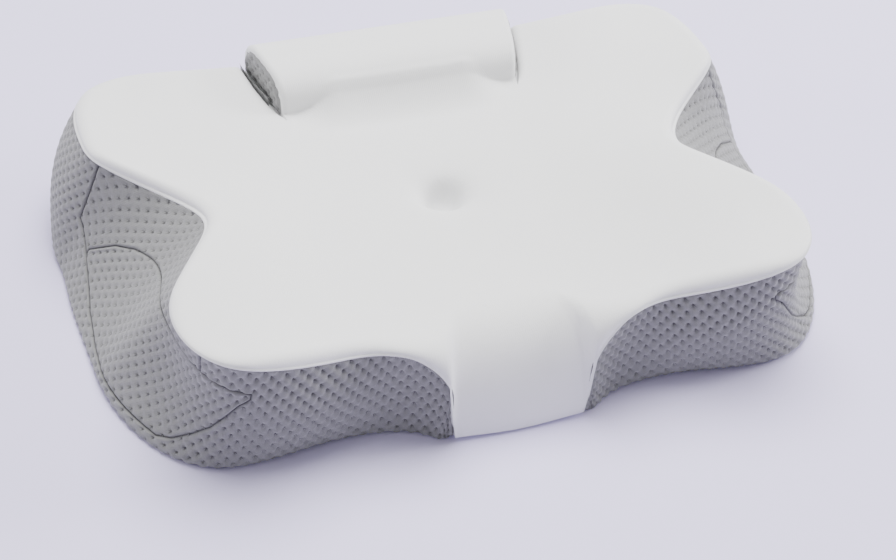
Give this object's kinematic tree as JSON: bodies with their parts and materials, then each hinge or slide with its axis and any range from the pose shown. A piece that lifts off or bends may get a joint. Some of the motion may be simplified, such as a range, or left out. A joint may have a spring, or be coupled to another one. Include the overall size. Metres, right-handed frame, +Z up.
{
  "type": "contour pillow",
  "caption": "Butterfly contour pillow of memory foam: white knit top with raised lobes, neck bolster, head basin with navel dimple, grey dimpled knit sides with arm pads.",
  "frame": {"origin": "middle of the flat underside, on the floor", "axes": "+X along the width, +Y from the tongue at the front to the neck bolster at the back, +Z up"},
  "size_m": [0.6, 0.4, 0.118],
  "materials": {
    "white_knit": "matte",
    "grey_knit": "matte",
    "underside_knit": "matte"
  },
  "bodies": {
    "root": {"top_cushion": "white_knit", "boxing": "grey_knit", "side_gusset_left": "grey_knit", "side_gusset_right": "grey_knit", "arm_pad_left": "grey_knit", "arm_pad_right": "grey_knit", "bolster_cap_left": "grey_knit", "bolster_cap_right": "grey_knit", "slit_wall_left": "grey_knit", "slit_wall_right": "grey_knit", "underside": "underside_knit"}
  },
  "joints": []
}
